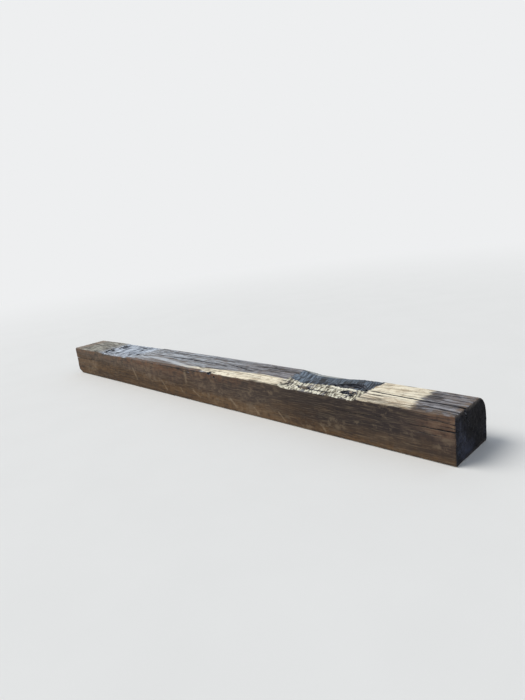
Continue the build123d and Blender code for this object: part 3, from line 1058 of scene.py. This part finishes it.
def stainGroup():       # patches of two sizes and streaks that run down the sides
    given, made = newGroup("stains", {"Patch Size": 0.2, "Drip Width": 0.01}, ("Patches", "Mottle", "Drips"))
    place = objectPlace()
    perPatch, perDrip = (maths("DIVIDE", 1.0, given[name]) for name in ("Patch Size", "Drip Width"))
    patches = noiseFac(stretched(place, 0.55, 1.6, 1.6), perPatch, 4.0, 0.6)
    mottle = noiseFac(stretched(place, 0.8, 1, 1), times(perPatch, 6.0), 4.0, 0.65)
    drips = noiseFac(stretched(place, 1, 1, 0.10), perDrip, 3.0, 0.6)
    linkTo(made["Patches"], between(patches, 0.36, 0.64))
    linkTo(made["Mottle"], between(mottle, 0.32, 0.68))
    linkTo(made["Drips"], between(drips, 0.40, 0.66))


def scratchGroup():     # a thin wavering mark from one place to another on the front face
    given, made = newGroup("scratch", {"Start": None, "End": None, "Width": 0.003}, ("Mask",))
    place = objectPlace()
    span = vectorMaths("SUBTRACT", given["End"], given["Start"])
    gone = vectorMaths("SUBTRACT", stretched(place, 1, 0, 1), given["Start"])
    share = maths("DIVIDE", vectorMaths("DOT_PRODUCT", gone, span), vectorMaths("DOT_PRODUCT", span, span),
                  clamp=True)
    away = vectorMaths("LENGTH", vectorMaths("SUBTRACT", gone, vectorMaths("SCALE", span, Scale=share)))
    torn = times(minus(noiseFac(place, 60.0), 0.5), given["Width"])
    away = plus(away, times(torn, 2.2))
    onFront = between(split(place)[1], frontY + 0.010, frontY + 0.006)
    linkTo(made["Mask"], times(between(away, given["Width"], 0.0), onFront))


grainGroup()
hairCheckGroup()
stainGroup()
scratchGroup()

woodTones = {
    "greyNearLight": (162, 161, 165), "greyNear": (107, 105, 108), "greyNearDark": (56, 53, 54),
    "greyFarLight": (188, 194, 201), "greyFar": (154, 158, 164), "greyFarDark": (100, 98, 98),
    "greyBrown": (112, 97, 84), "farEndLight": (178, 176, 164), "farEnd": (132, 128, 115),
    "farEndDark": (78, 72, 64), "farEndBrown": (142, 127, 111),
    # paler, warmer tones of painted sunlight on the top
    "bleachLight": (246, 237, 214), "bleach": (216, 202, 174), "bleachDark": (158, 138, 112),
    "bleachBrown": (154, 130, 104), "ridgeLine": (180, 184, 189),
    "sideDark": (42, 35, 33), "sideRed": (104, 77, 60), "sideRust": (118, 78, 52), "ochre": (104, 78, 50),
    "paleDust": (146, 128, 104), "edgeLine": (140, 114, 84),
    # the near seat: the ledge's cream is painted sunlight on crumbled wood, the trough's blue-grey is
    # painted shade over bruised wood
    "ledgeLight": (243, 239, 221), "ledge": (202, 197, 176), "ledgeDark": (92, 83, 68),
    "troughPale": (172, 188, 204), "troughLight": (102, 115, 130), "trough": (38, 47, 58),
    "troughDark": (10, 13, 20),
    "farSeatLight": (204, 213, 224), "farSeat": (136, 145, 158), "farSeatDark": (62, 66, 77),
    "rimLight": (206, 206, 196), "crack": (24, 21, 20),
    "lumpGrey": (72, 70, 72), "lumpBrown": (108, 98, 86), "lumpPale": (186, 172, 160),
    # the end's tones: creosote-black end grain, made bluer and darker by painted shade
    "endDark": (7, 7, 12), "end": (18, 19, 27), "endLight": (58, 61, 76), "endRing": (14, 13, 18),
    "endSpeckle": (92, 88, 86), "endFront": (66, 72, 86), "endRim": (96, 90, 86), "endFoot": (84, 78, 74),
    "endRay": (18, 17, 20),
    "hollowDark": (24, 25, 31), "hollow": (62, 65, 73), "hollowLight": (140, 142, 150),
}
# the front's tones from the far end to the near end, by share of the length
upperFront = ((0.0, (104, 89, 75)), (0.12, (102, 88, 75)), (0.42, (92, 73, 59)), (0.65, (73, 61, 53)),
              (0.80, (49, 40, 36)), (0.91, (48, 40, 39)), (1.0, (84, 68, 59)))
lowerFront = ((0.0, (46, 34, 22)), (0.42, (56, 38, 23)), (0.65, (106, 86, 66)), (0.77, (54, 38, 26)),
              (0.91, (82, 66, 52)), (1.0, (65, 50, 40)))
scratches = (       # start and end as (from the near end, above the bed), width
    ((1.456, 0.160), (1.456, 0.104), 0.018), ((1.515, 0.058), (1.503, 0.040), 0.007),
    ((1.403, 0.060), (1.349, 0.032), 0.007), ((1.105, 0.060), (1.068, 0.026), 0.008),
    ((0.945, 0.044), (0.915, 0.014), 0.008), ((0.790, 0.050), (0.757, 0.014), 0.006),
    ((1.690, 0.075), (1.650, 0.030), 0.008), ((1.990, 0.110), (1.960, 0.050), 0.011),
    ((0.560, 0.040), (0.535, 0.016), 0.008),
)


def readMark(name):
    return addNode("Attribute", (), {"attribute_name": name}).outputs["Fac"]


def markEdge(name, ragged, start, end):      # a painted mark whose edge is torn along the grain
    return between(plus(readMark(name), ragged), start, end)


def weatheredTop(x, y, wood, fibre, mottle, ragged):
    near = ramp(wood["Lines"], (0.14, "greyNearDark"), (0.45, "greyNear"), (0.82, "greyNearLight"))
    far = ramp(wood["Lines"], (0.12, "greyFarDark"), (0.42, "greyFar"), (0.85, "greyFarLight"))
    grey = tint(near, far, between(x, 0.55, -0.15))
    grey = tint(grey, "greyNearDark", between(fibre["Lines"], 0.45, 0.95), 0.34)
    grey = tint(grey, "greyBrown", between(mottle, 0.5, 1.0), 0.38)
    # brown flake face, and painted shade in a line behind the ridge
    grey = tint(grey, "greyBrown", readMark("flakeFaceAndRidgeShade"), 0.5)
    # brown wood shows along the near front edge and in from both ends
    edge = most(times(between(y, frontY + 0.050, frontY + 0.012), between(x, 0.9, 1.15)),
                between(x, nearX - 0.030, nearX - 0.006),
                times(between(y, 0.02, 0.06), between(x, 1.15, 1.3), 0.6))
    grey = tint(grey, "greyBrown", edge, between(mottle, 0.2, 0.7), 0.85)
    blotches = plus(times(mottle, 0.5), times(wood["Lines"], 0.5))
    farEnd = ramp(blotches, (0.20, "farEndDark"), (0.50, "farEnd"), (0.80, "farEndLight"))
    farEnd = tint(farEnd, "farEndBrown", between(plus(x, times(ragged, 0.08)), -1.25, -1.34))
    grey = tint(grey, farEnd, between(plus(x, times(ragged, 0.2)), -0.98, -1.08), 0.85)
    # paler, warmer wood where painted sunlight falls on the top
    bleach = ramp(fibre["Streaks"], (0.0, "bleach"), (0.45, "bleachLight"))
    bleach = tint(bleach, "bleachDark", between(wood["Lines"], 0.40, 0.0), 0.50)
    bleach = tint(bleach, "bleachBrown", between(mottle, 0.50, 0.95), 0.45)
    frontPart = times(between(y, frontY + 0.090, frontY + 0.035), between(x, 0.95, 1.05))
    bleach = tint(bleach, "bleachBrown", frontPart, between(fibre["Lines"], 0.8, 0.2), 0.80)
    bleach = tint(bleach, "ridgeLine", between(x, 0.10, -0.25))
    bleach = tint(bleach, "bleachLight", readMark("paleLines"), 0.8)
    return tint(grey, bleach, markEdge("sunlitPatches", times(ragged, 1.1), 0.30, 0.75))


def creosotedSide(x, z, wood, fibre, spots):
    mottle = spots["Mottle"]
    share = minus(1.0, maths("DIVIDE", minus(nearX, x), length))
    level = plus(z, times(minus(spots["Patches"], 0.5), 0.060))
    side = tint(ramp(share, *lowerFront), ramp(share, *upperFront), between(level, 0.060, 0.115))
    side = tint(side, "sideDark", between(wood["Streaks"], 0.55, 0.0), 0.30)
    # rust-brown under the far half's upper edge and at both ends
    rust = most(times(between(z, 0.110, 0.165), between(x, 0.65, 0.1)), between(x, -1.20, -1.36))
    side = tint(side, "sideRust", rust, between(mottle, 0.25, 0.85), 0.42)
    nearRed = times(between(x, 1.20, 1.34), between(z, 0.075, 0.125))
    side = tint(side, "sideRed", nearRed, between(wood["Lines"], 0.2, 0.6), 0.75)
    # the lower edge that stood in the ballast
    bandTop = plus(times(x, -0.042), 0.088)
    bandEdge = plus(z, times(minus(mottle, 0.5), 0.035))
    side = tint(side, "ochre", between(minus(bandTop, bandEdge), 0.0, 0.030),
                between(fibre["Streaks"], 0, 1, 0.30, 0.75))
    side = tint(side, "edgeLine", between(z, 0.0085, 0.0055), between(mottle, 0.3, 0.6), 0.6)
    side = tint(side, "sideDark", spots["Drips"], 0.20)
    side = tint(side, "sideDark", between(mottle, 0.50, 0.0), 0.42)
    side = tint(side, "sideDark", between(wood["Lines"], 0.30, 0.0), 0.45)
    side = tint(side, "sideDark", between(fibre["Lines"], 0.35, 0.0), 0.35)
    side = tint(side, "paleDust", most(
        times(between(fibre["Lines"], 0.55, 1.0), 0.26),
        times(between(spots["Patches"], 0.6, 1.0), between(mottle, 0.5, 1.0), 0.32)))
    for start, end, wide in scratches:
        begin, finish = ((nearX - s, 0.0, above) for s, above in (start, end))
        side = tint(side, "paleDust", useGroup("scratch", Start=begin, End=finish, Width=wide)["Mask"], 0.45)
    return side


def seatFinishes(x, y, bruise, ragged, onTop, colour):
    # the torn ledge in painted sunlight, the bruised trough in painted bluish shade and the pale far seat
    # over the given colour
    bruised = minus(bruise, 0.5)
    tufts = plus(times(readMark("tufts"), 0.50), plus(times(bruised, 2.2), 0.08))
    tufts = plus(tufts, times(readMark("paleRidge"), 0.7))
    # crumbled wood in painted sunlight, darker in the cracks between the tufts as painted shade
    ledge = ramp(tufts, (0.08, "ledgeDark"), (0.32, "ledge"), (0.72, "ledgeLight"))
    ledgeShare = markEdge("seatLedge", times(ragged, 0.9), 0.30, 0.60)
    colour = tint(colour, ledge, ledgeShare)
    strokes = plus(readMark("strokes"), bruised)
    # bruised wood in painted bluish shade
    trough = ramp(strokes, (0.16, "troughDark"), (0.52, "trough"), (0.95, "troughLight"))
    pale = most(between(x, 0.68, 0.58), times(between(y, 0.060, 0.082), between(x, 0.86, 0.74), 0.8))
    trough = tint(trough, "troughLight", pale, 0.35)
    trough = tint(trough, "troughPale", between(x, 0.685, 0.635), between(strokes, 0.25, 0.80), 0.22)
    trough = tint(trough, "troughDark", between(x, 0.72, 0.80), 0.12)
    trough = tint(trough, "rimLight", readMark("paleLines"), 0.9)
    troughShare = times(markEdge("seatTrough", times(ragged, 0.8), 0.35, 0.65),
                        between(readMark("underTop"), 0.016, 0.006))
    colour = tint(colour, trough, troughShare)
    slashes = noiseFac(stretched(objectPlace(), 42, 11, 11), 1.0, 3.0, 0.6)
    far = ramp(slashes, (0.38, "farSeatDark"), (0.46, "farSeat"), (0.58, "farSeatLight"))
    farShare = times(markEdge("farSeat", times(ragged, 1.1), 0.25, 0.75), onTop)
    colour = tint(colour, far, farShare)
    # darker round the far seat's spike holes
    colour = tint(colour, "crack", markEdge("holeDarkening", ragged, 0.30, 0.75), 0.85)
    return colour, ledgeShare, plus(troughShare, times(farShare, 0.5))


def finishMaterial(material, colour, roughness, heights, strength, distance, specular=0.35):
    bump = addNode("Bump", Strength=strength, Distance=distance, Height=heights)
    shader = addNode("BsdfPrincipled", Base_Color=colour, Roughness=roughness, Specular_IOR_Level=specular,
                     Normal=bump.outputs[0])
    addNode("OutputMaterial", Surface=shader.outputs[0])
    return material


def agedTimberMaterial():
    material = startTree(bpy.data.materials.new("creosotedTimber"))
    place = objectPlace()
    x, y, z = split(place)
    edgeNoise = minus(noiseFac(stretched(place, 14, 30, 30), 1.0, 4.0, 0.65), 0.5)
    ragged = minus(noiseFac(stretched(place, 9, 120, 120), 1.0, 4.0, 0.6), 0.5)
    wood = useGroup("woodGrain", Line_Width=0.0075, Line_Length=0.26, Waviness=0.05)
    fibre = useGroup("woodGrain", Line_Width=0.0030, Line_Length=0.09, Waviness=0.02)
    spots = useGroup("stains", Patch_Size=0.16, Drip_Width=0.011)
    topCracks = useGroup("hairChecks", Gap=0.030, Run=0.55, Thickness=0.022, Amount=0.62)["Mask"]
    sideCracks = useGroup("hairChecks", Gap=0.050, Run=0.35, Thickness=0.012, Amount=0.40)["Mask"]
    # bruises from the tie plates, which lean a little along the timber
    leaning = addNode("CombineXYZ", (plus(x, times(y, tornWood["lean"])), y, z)).outputs[0]
    bruise = noiseFac(stretched(leaning, 170, 40, 60), 1.0, 3.0, 0.6)
    under = plus(readMark("underTop"), times(edgeNoise, 0.012))
    brown = markEdge("brownEdge", ragged, 0.35, 0.75)
    onTop = times(between(under, 0.007, 0.001), minus(1.0, times(brown, 0.85)))
    colour = tint(creosotedSide(x, z, wood, fibre, spots),
                  weatheredTop(x, y, wood, fibre, spots["Mottle"], ragged), onTop)
    colour, ledgeShare, sheen = seatFinishes(x, y, bruise, ragged, onTop, colour)
    # real hair cracks, and painted shade along the checks and grooves on the top
    cracksAndShade = most(times(topCracks, onTop, 0.85), times(sideCracks, 0.5),
                  between(readMark("checkShade"), 0.18, 0.62, 0.0, 0.9))
    colour = tint(colour, "crack", cracksAndShade)
    smooth = times(between(ledgeShare, 0.0, 1.0, 1.0, 0.25),
                   between(readMark("sunlitPatches"), 0.0, 1.0, 1.0, 0.60))
    heights = times(plus(times(wood["Height"], 0.6), times(fibre["Height"], 0.5)), smooth)
    heights = minus(plus(heights, times(bruise, ledgeShare, 0.9)), times(cracksAndShade, 1.1))
    roughness = between(sheen, 0.0, 1.0, 0.92, 0.66)
    return finishMaterial(material, colour, roughness, heights, strength=0.9, distance=0.0028)


def endGrainMaterial():
    material = startTree(bpy.data.materials.new("endGrain"))
    place = objectPlace()
    _, y, z = split(place)
    fromPithY, fromPithZ = minus(y, frontY + timber["pith"][0]), minus(z, timber["pith"][1])
    away = maths("SQRT", plus(times(fromPithY, fromPithY), times(fromPithZ, fromPithZ)))
    wobble = noiseFac(place, 14.0)
    rings = plus(times(maths("SINE", plus(times(away, 210.0), times(wobble, 5.0))), 0.5), 0.5)
    spokes = addNode("CombineXYZ", (times(maths("ARCTAN2", fromPithZ, fromPithY), 9.0), times(away, 9.0)))
    rays = between(maths("ABSOLUTE", minus(noiseFac(spokes.outputs[0], 1.0, 2.0), 0.5)), 0.018, 0.0)
    patches = noiseFac(stretched(place, 1, 16, 9), 1.0, 4.0, 0.6)
    speckle = noiseFac(place, 130.0, 3.0, 0.7)
    level = plus(z, times(wobble, 0.02))
    # creosote-black end grain with a blue cast of painted shade
    colour = ramp(patches, (0.34, "endDark"), (0.50, "end"), (0.66, "endLight"))
    colour = tint(colour, "endRing", rings, 0.35)
    colour = tint(colour, "endSpeckle", between(speckle, 0.55, 0.8, 0.0, 0.50))
    atFront = between(y, frontY + 0.070, frontY + 0.025)
    colour = tint(colour, "endFront", atFront, between(speckle, 0.35, 0.65), 0.32)
    colour = tint(colour, "endRim", between(level, 0.168, 0.190), 0.8)
    colour = tint(colour, "endFoot", between(level, 0.022, 0.012), 0.5)
    colour = tint(colour, "endRay", rays, 0.8)
    heights = minus(plus(times(rings, 0.4), times(speckle, 0.8)), rays)
    return finishMaterial(material, colour, 0.93, heights, strength=0.9, distance=0.0025, specular=0.25)


def hollowMaterial():
    material = startTree(bpy.data.materials.new("rottedHollow"))
    fibre = useGroup("woodGrain", Line_Width=0.004, Line_Length=0.05, Waviness=0.02)
    colour = ramp(fibre["Lines"], (0.0, "hollowDark"), (0.50, "hollow"), (1.0, "hollowLight"))
    return finishMaterial(material, colour, 0.95, fibre["Height"], strength=1.0, distance=0.003,
                          specular=0.15)


def tornWoodMaterial():
    material = startTree(bpy.data.materials.new("tornWood"))
    fibre = useGroup("woodGrain", Line_Width=0.0018, Line_Length=0.02, Waviness=0.01)
    # the loose fibres take the ledge's tones of painted sunlight
    colour = ramp(readMark("fibreTone"), (0.0, "lumpGrey"), (0.08, "lumpBrown"), (0.17, "lumpPale"),
                  (0.35, "ledge"), (1.0, "ledgeLight"))
    colour = tint(colour, "ledgeDark", between(fibre["Lines"], 0.35, 0.0), 0.45)
    return finishMaterial(material, colour, 0.92, fibre["Height"], strength=0.8, distance=0.001)


finishes = (agedTimberMaterial(), endGrainMaterial(), hollowMaterial())
sleeper = buildTimberMesh()
carve(sleeper, makeCutters())
markSurfaces(sleeper)
loose = makeTornWood()
loose.data.materials.append(tornWoodMaterial())
for piece in (sleeper, loose):
    piece.data.shade_smooth()
    piece.data.set_sharp_from_angle(angle=math.radians(48))
    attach(piece, "root")
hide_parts("sleeper")
print("materials are on")
